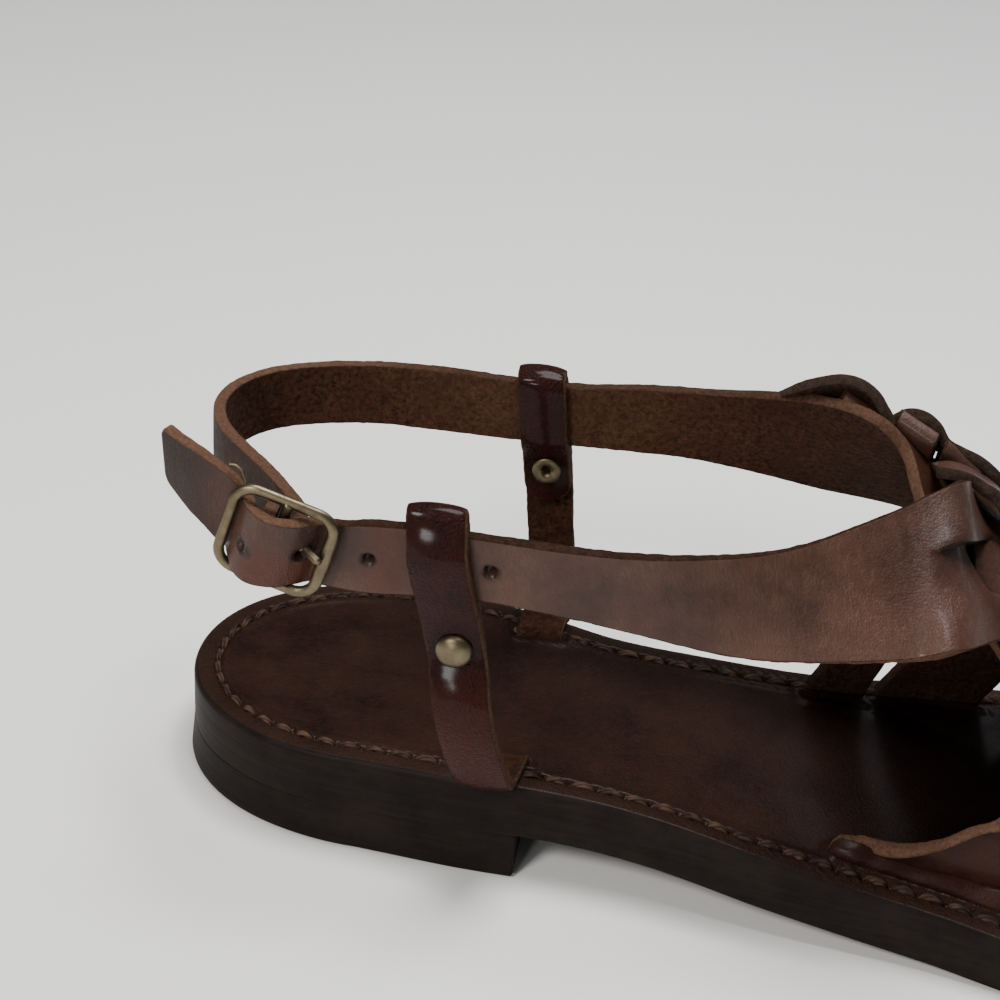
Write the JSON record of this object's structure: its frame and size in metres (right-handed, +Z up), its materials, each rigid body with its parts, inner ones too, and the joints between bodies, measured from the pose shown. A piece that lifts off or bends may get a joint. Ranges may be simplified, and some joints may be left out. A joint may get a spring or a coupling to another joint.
{
  "type": "fisherman sandal",
  "caption": "Flat leather sandal, right foot: woven instep straps, looped heel strap with a small buckle, stitched leather insole on an outsole with a low block heel.",
  "frame": {"origin": "on the floor plane under the middle of the heel", "axes": "+X from the heel to the toe, +Y to the inner side of the foot, +Z up; the buckle is on the outer side, -Y"},
  "size_m": [0.2865, 0.0953, 0.1014],
  "materials": {
    "strap_leather": "satin, waxed vegetable-tanned leather",
    "insole_leather": "satin, waxed vegetable-tanned leather",
    "sole_leather": "burnished dark edge",
    "antique_brass": "antique"
  },
  "bodies": {
    "root": {"outsole": "sole_leather", "heel": "sole_leather", "insole": "insole_leather", "upper": "strap_leather", "loop_outer": "strap_leather", "loop_inner": "strap_leather", "rivet_outer": "antique_brass", "rivet_inner": "antique_brass", "buckle_frame": "antique_brass", "buckle_prong": "antique_brass"}
  },
  "joints": []
}
